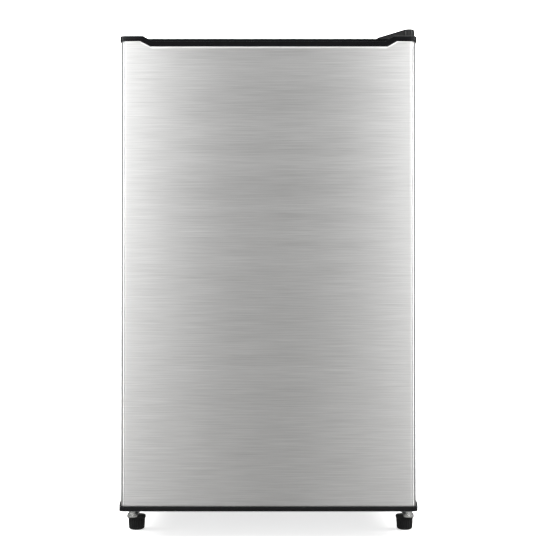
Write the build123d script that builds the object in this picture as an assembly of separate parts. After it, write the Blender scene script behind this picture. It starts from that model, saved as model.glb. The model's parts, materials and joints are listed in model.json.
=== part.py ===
from build123d import *
import math
import os

# Compact single-door refrigerator. Millimetres, +Z up, door facing -Y, door hinged on +X.
# Origin: centre of the footprint, on the floor.

# ---------------------------------------------------------------- driving dimensions
CABINET_HALF_WIDTH = 236.5
OVERALL_HALF_DEPTH = 222.5
DOOR_FRONT = -OVERALL_HALF_DEPTH
DOOR_THICKNESS = 41.0
CABINET_FRONT = -170.0
CABINET_BACK = 195.0
CABINET_BOTTOM = 33.0
CABINET_TOP = 801.5
SHEET = 1.0
LINER_SKIN = 1.5

# door levels and outline
DOOR_BOTTOM = 41.5
PANEL_BOTTOM = 49.0
PANEL_TOP = 795.0
DOOR_TOP = 803.5
PANEL_CORNER_RADIUS = 8.0
TOP_CAP_HALF_WIDTH = 238.7
BOTTOM_CAP_HALF_WIDTH = 239.5
PLUG_HEIGHT = 27.0
BOTTOM_PLUG_HEIGHT = 13.0

# finger pull in the top of the door
PULL_FLOOR = 786.5
PULL_LEFT_OUTER = -204.5
PULL_LEFT_INNER = -188.0
PULL_RIGHT_INNER = 190.0
PULL_RIGHT_OUTER = 205.0
PULL_BAND = 8.2
PULL_BAND_SHIFT = 3.2
PULL_LIP_DEPTH = 6.0
PULL_BACK_WALL = -198.0
PULL_POCKET_BOTTOM = 772.0

# door hinge axis
HINGE_X = 226.5
HINGE_Y = -204.5
PIN_RADIUS = 4.0
PIN_CLEARANCE = 0.05
BUSH_RADIUS = 6.0
COLLAR_RADIUS = 5.15
COLLAR_FLANGE_RADIUS = 7.0
SPARE_STUD_X = -220.0

# hinge hardware on top of the cabinet
PLATE = 3.0
HINGE_ARM_BOTTOM = CABINET_TOP + PLATE
COVER_TOP = 816.5
COVER_WALL = 1.6
COVER_NOSE_RADIUS = 9.7
COVER_OVER_DOOR = DOOR_TOP + 1.3

# feet
FOOT_Y = -150.0
LEFT_FOOT_X = -218.4
RIGHT_FOOT_X = 225.0
BRACKET_BOTTOM = CABINET_BOTTOM - PLATE
KNOB_HEIGHT = 24.0
KNOB_LIP_RADIUS = 14.8
KNOB_RIBS = 24
STUD_RADIUS = 4.0
STUD_TOP = 45.0
REAR_FOOT_RADIUS = 14.0
REAR_FOOT_X = 200.0
REAR_FOOT_Y = 165.0

# cold space
CAVITY_HALF_WIDTH = 200.0
CAVITY_BACK = 150.0
CAVITY_BOTTOM = 75.0
CAVITY_TOP = 761.5
CAVITY_RADIUS = 10.0
HUMP_FRONT = 45.0
HUMP_TOP = 262.0
BAY_FRONT = 85.0
BAY_TOP = 229.0

# shelves, by name and height of the ledge that carries them
SHELF_LEVELS = {"crisper_cover": 268.0, "lower_shelf": 400.0, "upper_shelf": 520.0}
SPARE_LEDGES = [460.0, 580.0]
LEDGE_WIDTH = 8.0
LEDGE_HEIGHT = 6.0
LEDGE_FRONT = -80.0
GLASS = 4.0
SHELF_FRONT = -96.0
SHELF_BACK = 147.0
SLIDE_GAP = 0.4

# door bins, by name: floor height and wall height
DOOR_BINS = {
    "lower_door_bin": (112.0, 95.0),
    "middle_door_bin": (330.0, 70.0),
    "upper_door_bin": (540.0, 70.0),
}
BIN_HALF_WIDTH = 172.3
BIN_WALL = 2.4
BIN_REACH = -112.0

# frame-shaped dyke moulded into the door liner
DYKE_OUTER = (191.0, 84.0, 756.0)
DYKE_INNER = (175.0, 96.0, 744.0)
DYKE_REACH = -135.0
LINER_BACK = DOOR_FRONT + DOOR_THICKNESS

# freezer compartment
FREEZER_HALF_WIDTH = 185.0
FREEZER_FRONT = -60.0
FREEZER_BACK = 140.0
FREEZER_BOTTOM = 640.0
FREEZER_TOP = 752.0
FLAP_AXIS_Y = -64.2
FLAP_AXIS_Z = 747.0
FLAP_PIN_RADIUS = 2.0

# condenser on the back
TUBE_RADIUS = 2.4
WIRE_RADIUS = 0.75
CONDENSER_Y = 208.0
CONDENSER_RUNS = 11
CONDENSER_PITCH = 44.0
CONDENSER_BOTTOM = 270.0
CONDENSER_HALF_WIDTH = 195.0
WIRE_COUNT = 25

# compressor
COMPRESSOR_X = 80.0
COMPRESSOR_Y = 141.0
COMPRESSOR_BASE = 46.0

os.makedirs("parts", exist_ok=True)


# ---------------------------------------------------------------- helpers
def block(x0, x1, y0, y1, z0, z1):
    """Axis-aligned box between two corners."""
    centre = Pos((x0 + x1) / 2, (y0 + y1) / 2, (z0 + z1) / 2)
    return centre * Box(abs(x1 - x0), abs(y1 - y0), abs(z1 - z0))


def post(x, y, z0, z1, radius):
    """Vertical cylinder."""
    return Pos(x, y, (z0 + z1) / 2) * Cylinder(radius, z1 - z0)


def rod_x(x0, x1, y, z, radius):
    """Cylinder along X."""
    return Pos((x0 + x1) / 2, y, z) * Rot(0, 90, 0) * Cylinder(radius, abs(x1 - x0))


def rod_y(x, y0, y1, z, radius):
    """Cylinder along Y."""
    return Pos(x, (y0 + y1) / 2, z) * Rot(90, 0, 0) * Cylinder(radius, abs(y1 - y0))


def hex_head(x, y, z0, z1, radius):
    """Hexagonal bolt head standing on z0."""
    return Pos(x, y, z0) * extrude(RegularPolygon(radius, 6), z1 - z0)


def prism_y(outline, y0, y1):
    """Closed X, Z outline extruded along Y."""
    corners = [(x, y0, z) for x, z in outline]
    face = make_face(Polyline(*corners, close=True))
    return extrude(face, amount=y1 - y0, dir=(0, 1, 0))


def prism_x(outline, x0, x1):
    """Closed Y, Z outline extruded along X."""
    corners = [(x0, y, z) for y, z in outline]
    face = make_face(Polyline(*corners, close=True))
    return extrude(face, amount=x1 - x0, dir=(1, 0, 0))


def plate_z(outline, z0, z1, rounding):
    """Closed X, Y outline grown by a rounding radius, extruded along Z."""
    sketch = offset(make_face(Polyline(*outline, close=True)), amount=rounding)
    return Pos(0, 0, z0) * extrude(sketch, z1 - z0)


def round_front(solid, radius):
    """Round the two upright edges nearest the front."""
    return fillet(solid.edges().filter_by(Axis.Z).sort_by(Axis.Y)[:2], radius)


def swept_tube(points, radii, radius):
    """Round bar along straight runs joined by tangent arcs."""
    path = FilletPolyline(*points, radius=radii)
    start = path @ 0
    section = Plane(origin=start, z_dir=path % 0) * Circle(radius)
    return sweep(section, path=path)


def group(solids):
    """Separate solids kept together in one node."""
    return Compound(children=[s for item in solids for s in item.solids()])


def save(name, shape):
    export_step(shape, f"parts/{name}.step")


# ---------------------------------------------------------------- cabinet shell
def cavity_shape(skin):
    """The cold space with its compressor hump, grown by the liner's thickness."""
    half = CAVITY_HALF_WIDTH + skin
    body = block(-half, half, CABINET_FRONT, CAVITY_BACK + skin, CAVITY_BOTTOM - skin, CAVITY_TOP + skin)
    hump = block(-half, half, HUMP_FRONT + skin, CAVITY_BACK + skin, CAVITY_BOTTOM - skin, HUMP_TOP - skin)
    shape = body - hump
    behind_front = [e for e in shape.edges() if e.center().Y > CABINET_FRONT + 1]
    return fillet(behind_front, CAVITY_RADIUS + skin * 0.5)


def foot_sites():
    return [(LEFT_FOOT_X, FOOT_Y), (RIGHT_FOOT_X, FOOT_Y)]


BRACKET_SCREWS = [(-178.0, -112.0), (-206.0, -112.0), (180.0, -112.0), (208.0, -112.0)]
BRACKET_SCREW_RADIUS = 2.5
BRACKET_SCREW_TOP = 43.0
HINGE_SCREWS = [(224.0, -146.0), (224.0, -117.0), (196.0, -120.0)]
HINGE_SCREW_RADIUS = 2.5
HINGE_SCREW_BOTTOM = 785.0
COMPRESSOR_BOLTS = [
    (COMPRESSOR_X + side * 84.0, COMPRESSOR_Y + end * 30.0) for side in (-1, 1) for end in (-1, 1)
]
COMPRESSOR_BOLT_RADIUS = 3.0
HOLE_PLUGS = [(-x, y) for x, y in HINGE_SCREWS]


def build_inner_liner():
    liner = cavity_shape(LINER_SKIN) - cavity_shape(0.0)
    for level in list(SHELF_LEVELS.values()) + SPARE_LEDGES:
        for side in (-1, 1):
            wall = side * (CAVITY_HALF_WIDTH + 0.5)
            tip = side * (CAVITY_HALF_WIDTH - LEDGE_WIDTH)
            ledge = block(tip, wall, LEDGE_FRONT, CAVITY_BACK - 4, level - LEDGE_HEIGHT, level)
            liner += ledge & cavity_shape(LINER_SKIN)
    return liner


def build_outer_wrap():
    half = CABINET_HALF_WIDTH
    inner = half - SHEET
    front = CABINET_FRONT
    wrap = block(-half, half, front, CABINET_BACK, CABINET_BOTTOM, CABINET_TOP)
    wrap = fillet(wrap.edges().filter_by(Axis.Y).sort_by(Axis.Z)[-2:], 4)
    hollow = block(-inner, inner, front + SHEET, CABINET_BACK + 1, CABINET_BOTTOM - 1, CABINET_TOP - SHEET)
    hollow = fillet(hollow.edges().filter_by(Axis.Y).sort_by(Axis.Z)[-2:], 3)
    wrap -= hollow
    opening = CAVITY_HALF_WIDTH + LINER_SKIN
    wrap -= block(-opening, opening, front - 1, front + 2, CABINET_BOTTOM - 1, CAVITY_TOP + LINER_SKIN)
    wrap -= block(-inner, inner, front - 1, front + 2, CABINET_BOTTOM - 1, CAVITY_BOTTOM - LINER_SKIN)
    for x, y in HINGE_SCREWS:
        wrap -= post(x, y, CABINET_TOP - 3, CABINET_TOP + 1, HINGE_SCREW_RADIUS)
    for x, y in HOLE_PLUGS:
        wrap -= post(x, y, CABINET_TOP - 3, CABINET_TOP + 1, 3.0)
    return wrap


BASE_TOP = CABINET_BOTTOM + 1.2


def build_lower_front_rail():
    """Channel under the door opening, cleared for the studs and screws that come up through it."""
    inner = CABINET_HALF_WIDTH - SHEET
    top = CAVITY_BOTTOM - LINER_SKIN
    front = CABINET_FRONT
    channel = [
        (front, BASE_TOP), (front + 16, BASE_TOP),
        (front + 16, BASE_TOP + SHEET), (front + SHEET, BASE_TOP + SHEET),
        (front + SHEET, top - SHEET), (front + 16, top - SHEET),
        (front + 16, top), (front, top),
    ]
    rail = prism_x(channel, -inner, inner)
    for x, y in BRACKET_SCREWS:
        rail -= post(x, y, BASE_TOP - 1, STUD_TOP + 3, BRACKET_SCREW_RADIUS)
    for x, y in foot_sites():
        rail -= post(x, y, BASE_TOP - 1, STUD_TOP + 3, STUD_RADIUS + 2)
    return rail


def build_base_pan():
    inner = CABINET_HALF_WIDTH - SHEET
    pan = block(-inner, inner, CABINET_FRONT, CABINET_BACK, CABINET_BOTTOM, BASE_TOP)
    tab = block(-190, -150, CABINET_BACK - SHEET, CABINET_BACK, BASE_TOP, 75)
    pan += tab - rod_y(-170, CABINET_BACK - 3, CABINET_BACK + 2, 56, 8)
    for x, y in foot_sites():
        pan -= post(x, y, CABINET_BOTTOM - 1, BASE_TOP + 1, STUD_RADIUS + 2)
    for x, y in BRACKET_SCREWS:
        pan -= post(x, y, CABINET_BOTTOM - 1, BASE_TOP + 1, BRACKET_SCREW_RADIUS)
    for x, y in COMPRESSOR_BOLTS:
        pan -= post(x, y, CABINET_BOTTOM - 1, BASE_TOP + 1, COMPRESSOR_BOLT_RADIUS)
    return pan


def build_bay_plate():
    inner = CABINET_HALF_WIDTH - SHEET
    plate = block(-inner, inner, BAY_FRONT - SHEET, BAY_FRONT, BASE_TOP, BAY_TOP + SHEET)
    plate += block(-inner, inner, BAY_FRONT - SHEET, CABINET_BACK, BAY_TOP, BAY_TOP + SHEET)
    return plate


def build_back_panel():
    inner = CABINET_HALF_WIDTH - SHEET
    panel = block(-inner, inner, CABINET_BACK - SHEET, CABINET_BACK, BAY_TOP + SHEET, CABINET_TOP - SHEET)
    return fillet(panel.edges().filter_by(Axis.Y).sort_by(Axis.Z)[-2:], 3)


def build_foam_insulation(rail):
    inner = CABINET_HALF_WIDTH - SHEET
    foam = block(-inner, inner, CABINET_FRONT + SHEET, CABINET_BACK - SHEET, BASE_TOP, CABINET_TOP - SHEET)
    foam = fillet(foam.edges().filter_by(Axis.Y).sort_by(Axis.Z)[-2:], 3)
    foam -= cavity_shape(LINER_SKIN)
    foam -= block(-inner, inner, BAY_FRONT - SHEET, CABINET_BACK, BASE_TOP, BAY_TOP + SHEET)
    foam -= rail
    for x, y in foot_sites():
        foam -= post(x, y, BASE_TOP - 1, STUD_TOP + 3, STUD_RADIUS + 2)
    for x, y in BRACKET_SCREWS:
        foam -= post(x, y, BASE_TOP - 1, BRACKET_SCREW_TOP, BRACKET_SCREW_RADIUS)
    for x, y in HINGE_SCREWS:
        foam -= post(x, y, HINGE_SCREW_BOTTOM, CABINET_TOP, HINGE_SCREW_RADIUS)
    for x, y in HOLE_PLUGS:
        foam -= post(x, y, CABINET_TOP - 9, CABINET_TOP, 3.0)
    return foam


# ---------------------------------------------------------------- hinge and foot hardware
def build_top_hinge_plate():
    nose = (HINGE_X, HINGE_Y)
    arm_outline = [nose, (HINGE_X, -160), (210, -160), (212, -180)]
    arm = plate_z(arm_outline, HINGE_ARM_BOTTOM, HINGE_ARM_BOTTOM + PLATE, 6.4)
    base_outline = [(HINGE_X, -159), (HINGE_X, -113), (190, -113), (192, -141), (204, -159)]
    plate = arm + plate_z(base_outline, CABINET_TOP, HINGE_ARM_BOTTOM, 6.4)
    plate -= post(*nose, HINGE_ARM_BOTTOM - 1, HINGE_ARM_BOTTOM + PLATE + 1, PIN_RADIUS)
    for x, y in HINGE_SCREWS:
        plate -= post(x, y, CABINET_TOP - 1, HINGE_ARM_BOTTOM + PLATE + 1, HINGE_SCREW_RADIUS)
    return plate


def build_hinge_cover():
    outline = [(HINGE_X, HINGE_Y), (HINGE_X, -112), (188, -112), (190, -142)]
    shell = plate_z(outline, CABINET_TOP, COVER_TOP, COVER_NOSE_RADIUS)
    shell = fillet(shell.faces().sort_by(Axis.Z)[-1].edges(), 3.0)
    hollow = plate_z(outline, CABINET_TOP - 1, COVER_TOP - COVER_WALL, COVER_NOSE_RADIUS - COVER_WALL)
    shell -= hollow
    shell -= block(150, 250, -230, CABINET_FRONT + 1.5, CABINET_TOP - 1, COVER_OVER_DOOR)
    return shell


def build_top_hinge_screws():
    screws = []
    for x, y in HINGE_SCREWS:
        head = HINGE_ARM_BOTTOM
        shank = post(x, y, HINGE_SCREW_BOTTOM, head, HINGE_SCREW_RADIUS)
        screws.append(shank + hex_head(x, y, head, head + 4, 5))
    return group(screws)


def build_lower_bracket(pin_x, foot_x, wide_x):
    """Flat bracket: a narrow nose under the door, the levelling foot, and a wide screwed tail."""
    nose = post(pin_x, HINGE_Y, BRACKET_BOTTOM, CABINET_BOTTOM, 8)
    nose += block(pin_x - 8, pin_x + 8, HINGE_Y, -125, BRACKET_BOTTOM, CABINET_BOTTOM)
    tail_outline = [(pin_x, -136), (pin_x, -106), (wide_x, -106), (wide_x, -118)]
    tail = plate_z(tail_outline, BRACKET_BOTTOM, CABINET_BOTTOM, 8)
    bracket = nose + tail
    bracket -= post(pin_x, HINGE_Y, BRACKET_BOTTOM - 1, CABINET_BOTTOM + 1, PIN_RADIUS)
    bracket -= post(foot_x, FOOT_Y, BRACKET_BOTTOM - 1, CABINET_BOTTOM + 1, STUD_RADIUS + PIN_CLEARANCE)
    for x, y in BRACKET_SCREWS:
        bracket -= post(x, y, BRACKET_BOTTOM - 1, CABINET_BOTTOM + 1, BRACKET_SCREW_RADIUS)
    return bracket


def build_bracket_screws():
    screws = []
    for x, y in BRACKET_SCREWS:
        shank = post(x, y, BRACKET_BOTTOM, BRACKET_SCREW_TOP, BRACKET_SCREW_RADIUS)
        screws.append(shank + hex_head(x, y, BRACKET_BOTTOM - 3.5, BRACKET_BOTTOM, 5))
    return group(screws)


def build_collared_pin(x, top):
    """Riveted pin with a flange and a collar on the bracket, and a thinner journal above the collar."""
    collar_top = DOOR_BOTTOM - 0.6
    pin = post(x, HINGE_Y, BRACKET_BOTTOM, CABINET_BOTTOM, PIN_RADIUS)
    pin += post(x, HINGE_Y, CABINET_BOTTOM, CABINET_BOTTOM + 2, COLLAR_FLANGE_RADIUS)
    collar = post(x, HINGE_Y, CABINET_BOTTOM + 1, collar_top, COLLAR_RADIUS)
    pin += chamfer(collar.faces().sort_by(Axis.Z)[-1].edges(), 0.4)
    if top > collar_top:
        pin += post(x, HINGE_Y, collar_top, top, PIN_RADIUS)
    return pin


def build_foot_stud(x):
    return post(x, FOOT_Y, 6.0, STUD_TOP, STUD_RADIUS)


def build_foot_knob(x):
    """Tapered, ribbed levelling knob with a wider lip on top and a small flat underneath."""
    lip = KNOB_LIP_RADIUS
    top = KNOB_HEIGHT
    profile = Polyline((0, 0, 0), (9.5, 0, 0), (12.9, 0, 2.6), (13.9, 0, top - 5), (lip, 0, top - 4),
                       (lip, 0, top - 0.8), (lip - 0.8, 0, top), (0, 0, top), close=True)
    knob = Pos(x, FOOT_Y, 0) * revolve(make_face(profile), Axis.Z)
    for i in range(KNOB_RIBS):
        angle = 2 * math.pi * i / KNOB_RIBS
        cx = x + 14.4 * math.cos(angle)
        cy = FOOT_Y + 14.4 * math.sin(angle)
        knob -= post(cx, cy, 2.5, top - 4.6, 1.0)
    return knob - build_foot_stud(x)


def build_rear_feet():
    feet = []
    for side in (-1, 1):
        foot = post(side * REAR_FOOT_X, REAR_FOOT_Y, 0, CABINET_BOTTOM, REAR_FOOT_RADIUS)
        feet.append(chamfer(foot.faces().sort_by(Axis.Z)[0].edges(), 2))
    return group(feet)


def build_hole_plugs():
    plugs = []
    for x, y in HOLE_PLUGS:
        cap = post(x, y, CABINET_TOP, CABINET_TOP + 1.5, 5.0)
        cap = fillet(cap.faces().sort_by(Axis.Z)[-1].edges(), 1.0)
        plugs.append(cap + post(x, y, CABINET_TOP - 8, CABINET_TOP, 3.0))
    return group(plugs)


# ---------------------------------------------------------------- refrigeration circuit
def build_compressor():
    shell = Pos(0, 0, COMPRESSOR_BASE + 3) * extrude(Ellipse(70, 48), 66)
    shell = fillet(shell.faces().sort_by(Axis.Z)[0].edges(), 12)
    rim = Pos(0, 0, COMPRESSOR_BASE + 67) * extrude(Ellipse(73, 51), 5)
    dome = Pos(0, 0, COMPRESSOR_BASE + 72) * extrude(Ellipse(69, 47), 50)
    dome = fillet(dome.faces().sort_by(Axis.Z)[-1].edges(), 30)
    feet = build_compressor_feet()
    return Pos(COMPRESSOR_X, COMPRESSOR_Y, 0) * (shell + rim + dome) + feet


def build_compressor_feet():
    """Mounting plate welded under the compressor shell."""
    x, y = COMPRESSOR_X, COMPRESSOR_Y
    plate = block(x - 94, x + 94, y - 40, y + 40, COMPRESSOR_BASE, COMPRESSOR_BASE + 3)
    plate = fillet(plate.edges().filter_by(Axis.Z), 10)
    for bx, by in COMPRESSOR_BOLTS:
        plate -= post(bx, by, COMPRESSOR_BASE - 1, COMPRESSOR_BASE + 4, 7)
    return plate


def build_grommets():
    rubber = []
    for x, y in COMPRESSOR_BOLTS:
        outer = post(x, y, BASE_TOP, COMPRESSOR_BASE, 10)
        outer += post(x, y, COMPRESSOR_BASE, COMPRESSOR_BASE + 3, 7)
        outer += post(x, y, COMPRESSOR_BASE + 3, COMPRESSOR_BASE + 7, 9)
        rubber.append(outer - post(x, y, BASE_TOP - 1, COMPRESSOR_BASE + 9, COMPRESSOR_BOLT_RADIUS))
    return group(rubber)


def build_compressor_bolts():
    bolts = []
    for x, y in COMPRESSOR_BOLTS:
        top = COMPRESSOR_BASE + 7
        shank = post(x, y, CABINET_BOTTOM - 2, top, COMPRESSOR_BOLT_RADIUS)
        bolts.append(shank + hex_head(x, y, top, top + 4, 5.5))
    return group(bolts)


def build_terminal_cover(compressor):
    x = COMPRESSOR_X - 70
    box = block(x - 22, x + 8, COMPRESSOR_Y - 26, COMPRESSOR_Y + 26, 62, 108)
    box = fillet(box.edges().filter_by(Axis.X), 4)
    return box - compressor


def build_evaporation_tray():
    x, y = COMPRESSOR_X, COMPRESSOR_Y
    top = COMPRESSOR_BASE + 122
    tray = block(x - 75, x + 75, y - 48, y + 48, top, top + 24)
    tray = fillet(tray.edges().filter_by(Axis.Z), 8)
    hollow = block(x - 73, x + 73, y - 46, y + 46, top + 2, top + 25)
    return tray - fillet(hollow.edges().filter_by(Axis.Z), 6)


def condenser_route():
    """Serpentine: level runs joined by half-circle bends, starting at the bottom right."""
    points = []
    half = CONDENSER_HALF_WIDTH
    for run in range(CONDENSER_RUNS):
        z = CONDENSER_BOTTOM + run * CONDENSER_PITCH
        ends = [half, -half] if run % 2 == 0 else [-half, half]
        points += [(ends[0], CONDENSER_Y, z), (ends[1], CONDENSER_Y, z)]
    return points


def build_condenser_tube():
    """The serpentine, from the right end of the lowest run to the end of the highest one."""
    bend = CONDENSER_PITCH / 2 - 0.01
    corners = condenser_route()
    radii = [bend] * (len(corners) - 2)
    return swept_tube(corners, radii, TUBE_RADIUS)


def build_condenser_wires():
    wires = []
    bottom = CONDENSER_BOTTOM - 8
    top = CONDENSER_BOTTOM + (CONDENSER_RUNS - 1) * CONDENSER_PITCH + 8
    reach = TUBE_RADIUS + WIRE_RADIUS
    span = CONDENSER_HALF_WIDTH - CONDENSER_PITCH / 2 - 4
    for i in range(WIRE_COUNT):
        x = -span + 2 * span * i / (WIRE_COUNT - 1)
        wires.append(post(x, CONDENSER_Y - reach, bottom, top, WIRE_RADIUS))
        wires.append(post(x, CONDENSER_Y + reach, bottom, top, WIRE_RADIUS))
    return group(wires)


def build_condenser_brackets(tube):
    brackets = []
    for side in (-1, 1):
        for run in (1, 9):
            z = CONDENSER_BOTTOM + (run if side < 0 else run - 1) * CONDENSER_PITCH + CONDENSER_PITCH / 2
            x = side * (CONDENSER_HALF_WIDTH - 2)
            clip = block(x - 7, x + 7, CABINET_BACK, OVERALL_HALF_DEPTH, z - 9, z + 9)
            clip = fillet(clip.edges().filter_by(Axis.Z).sort_by(Axis.Y)[-2:], 3)
            brackets.append(clip - tube)
    return group(brackets)


def build_discharge_line():
    """From the compressor's right end up to the start of the condenser."""
    points = [
        (COMPRESSOR_X + 60, 158, 100), (198, 158, 100), (215, 175, 130), (215, 205, 240),
        (CONDENSER_HALF_WIDTH + 18, CONDENSER_Y, CONDENSER_BOTTOM),
        (CONDENSER_HALF_WIDTH, CONDENSER_Y, CONDENSER_BOTTOM),
    ]
    return swept_tube(points, [9, 18, 18, 6], TUBE_RADIUS)


def build_filter_dryer():
    x, y = -110.0, 170.0
    body = post(x, y, 120, 190, 9)
    body = fillet(body.edges().filter_by(GeomType.CIRCLE), 5)
    return body + post(x, y, 108, 202, 2.4)


def build_capillary_tube():
    points = [(-110, 170, 108), (-110, 170, 92), (-90, 150, 92), (-60, 140, 120), (-60, 140, BAY_TOP)]
    return swept_tube(points, [6, 8, 12], 1.2)


def build_suction_line():
    points = [(COMPRESSOR_X - 48, 120, 140), (-20, 112, 140), (-30, 106, 160), (-30, 106, BAY_TOP)]
    return swept_tube(points, [9, 9], 3.2)


def build_cord_gland():
    gland = rod_y(-170, CABINET_BACK - 10, CABINET_BACK + 9, 56, 8)
    gland += rod_y(-170, CABINET_BACK, CABINET_BACK + 3, 56, 11)
    gland += rod_y(-170, CABINET_BACK + 9, CABINET_BACK + 16, 56, 6)
    return gland - rod_y(-170, CABINET_BACK - 11, CABINET_BACK + 17, 56, 3.6)


# ---------------------------------------------------------------- inside the cold space
def build_evaporator_box():
    half = FREEZER_HALF_WIDTH
    wall = 1.5
    box = block(-half, half, FREEZER_FRONT, FREEZER_BACK, FREEZER_BOTTOM, FREEZER_TOP)
    box = fillet(box.edges().filter_by(Axis.Y), 6)
    hollow = block(-half + wall, half - wall, FREEZER_FRONT - 1, FREEZER_BACK - wall, FREEZER_BOTTOM + wall,
                   FREEZER_TOP - wall)
    return box - fillet(hollow.edges().filter_by(Axis.Y), 4.5)


def build_evaporator_hangers():
    sites = [(sx * 150.0, y) for sx in (-1, 1) for y in (-35.0, 115.0)]
    return group([post(x, y, FREEZER_TOP, CAVITY_TOP, 6) for x, y in sites])


def build_flap_hinge_blocks():
    blocks = []
    for side in (-1, 1):
        inner = side * FREEZER_HALF_WIDTH
        outer = side * (FREEZER_HALF_WIDTH + 5)
        ear = block(inner, outer, FLAP_AXIS_Y - 5, FREEZER_FRONT + 14, FLAP_AXIS_Z - 6, FLAP_AXIS_Z + 6)
        bore = rod_x(inner - side, outer + side, FLAP_AXIS_Y, FLAP_AXIS_Z, FLAP_PIN_RADIUS + PIN_CLEARANCE)
        blocks.append(ear - bore)
    return group(blocks)


def build_freezer_flap():
    half = FREEZER_HALF_WIDTH - 1.5
    flap = block(-half, half, FLAP_AXIS_Y - 1.8, FLAP_AXIS_Y + 1.8, FREEZER_BOTTOM + 2, FLAP_AXIS_Z + 2.5)
    flap = fillet(flap.edges().filter_by(Axis.Y).sort_by(Axis.Z)[:2], 6)
    grip = block(-70, 70, FLAP_AXIS_Y - 10, FLAP_AXIS_Y - 1.8, FREEZER_BOTTOM + 8, FREEZER_BOTTOM + 14)
    flap += fillet(grip.edges().filter_by(Axis.Z).sort_by(Axis.Y)[:2], 5)
    return flap + rod_x(-half - 6, half + 6, FLAP_AXIS_Y, FLAP_AXIS_Z, FLAP_PIN_RADIUS)


def build_drip_tray():
    half = 178.0
    top = FREEZER_BOTTOM - 4
    tray = block(-half, half, FREEZER_FRONT + 4, FREEZER_BACK - 4, top - 14, top)
    tray = fillet(tray.edges().filter_by(Axis.Z), 8)
    hollow = block(-half + 2, half - 2, FREEZER_FRONT + 6, FREEZER_BACK - 6, top - 12, top + 1)
    tray -= fillet(hollow.edges().filter_by(Axis.Z), 6)
    lips = block(-half - 7, half + 7, FREEZER_FRONT + 20, FREEZER_BACK - 20, top - 2, top)
    lips -= block(-half + 1, half - 1, FREEZER_FRONT, FREEZER_BACK, top - 3, top + 1)
    return tray + lips


def build_drip_tray_rails():
    """Two L-shaped runners under the evaporator that carry the drip tray's side lips."""
    rails = []
    z = FREEZER_BOTTOM - 4
    front = FREEZER_FRONT + 6
    back = FREEZER_BACK - 6
    box_half = FREEZER_HALF_WIDTH + 0.01
    box = block(-box_half, box_half, FREEZER_FRONT - 10, FREEZER_BACK + 10, FREEZER_BOTTOM, FREEZER_TOP)
    for side in (-1, 1):
        inner = side * 181.0
        outer = side * 188.0
        upright = block(side * 186.0, outer, front, back, z - 5, FREEZER_BOTTOM + 10) - box
        floor = block(inner, outer, front, back, z - 5, z - 2.4)
        rails.append(upright + floor)
    return group(rails)


THERMOSTAT_X = 176.0
THERMOSTAT_Z = 598.0


def build_thermostat_housing():
    x = THERMOSTAT_X
    housing = block(x - 22, CAVITY_HALF_WIDTH, -40, 70, THERMOSTAT_Z - 17, THERMOSTAT_Z + 17)
    housing = fillet(housing.edges().filter_by(Axis.Y).sort_by(Axis.X)[:2], 6)
    return housing - rod_y(x, -41, -20, THERMOSTAT_Z, 3 + PIN_CLEARANCE)


def build_thermostat_knob():
    x = THERMOSTAT_X
    knob = rod_y(x, -54, -40.5, THERMOSTAT_Z, 13)
    knob = fillet(knob.faces().sort_by(Axis.Y)[0].edges(), 1.5)
    for i in range(12):
        angle = 2 * math.pi * i / 12
        knob -= rod_y(x + 13.6 * math.cos(angle), -55, -43, THERMOSTAT_Z + 13.6 * math.sin(angle), 1.4)
    knob += rod_y(x, -40.6, -22, THERMOSTAT_Z, 3)
    pointer = block(x - 0.8, x + 0.8, -55, -53.2, THERMOSTAT_Z + 3, THERMOSTAT_Z + 11.5)
    return knob - pointer


def build_shelf(level):
    """Glass plate, and its front and rear trims as one group."""
    half = CAVITY_HALF_WIDTH - 2.5
    low = level + SLIDE_GAP
    glass = block(-half, half, SHELF_FRONT + 3, SHELF_BACK - 3, low, low + GLASS)
    front = block(-half, half, SHELF_FRONT, SHELF_FRONT + 13, low - 5, low + GLASS + 3)
    front = fillet(front.edges().filter_by(Axis.X).sort_by(Axis.Y)[:2], 4)
    rear = block(-half + 3.5, half - 3.5, SHELF_BACK - 9, SHELF_BACK, low, low + GLASS + 8)
    return glass, group([front - glass, rear - glass])


def build_crisper_drawer():
    half = 188.0
    front, back, low, high, wall = -90.0, 31.0, 80.0, 240.0, 2.5
    drawer = block(-half, half, front, back, low, high)
    drawer = fillet(drawer.edges().filter_by(Axis.Z), 10)
    drawer = fillet(drawer.faces().sort_by(Axis.Z)[0].edges(), 5)
    hollow = block(-half + wall, half - wall, front + wall, back - wall, low + wall, high + 1)
    hollow = fillet(hollow.edges().filter_by(Axis.Z), 8)
    drawer -= hollow
    grip = block(-60, 60, front - 3, front + 1, high - 26, high)
    drawer += fillet(grip.edges().filter_by(Axis.Z).sort_by(Axis.Y)[:2], 2)
    for x in (-120, 120):
        drawer += block(x - 6, x + 6, front + 12, back - 14, CAVITY_BOTTOM + SLIDE_GAP, low + 1)
    return drawer


# ---------------------------------------------------------------- door
def pull_outline(rise, narrowing, overshoot):
    """Finger-pull profile across the door's top edge, raised by a height and narrowed at both ends."""
    base = PULL_FLOOR + rise
    shoulder = PANEL_TOP + rise
    left = PULL_LEFT_OUTER + narrowing
    right = PULL_RIGHT_OUTER - narrowing
    return [
        (left, shoulder), (PULL_LEFT_INNER + narrowing * 0.6, base),
        (PULL_RIGHT_INNER - narrowing * 0.6, base), (right, shoulder),
        (right, shoulder + overshoot), (left, shoulder + overshoot),
    ]


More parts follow.
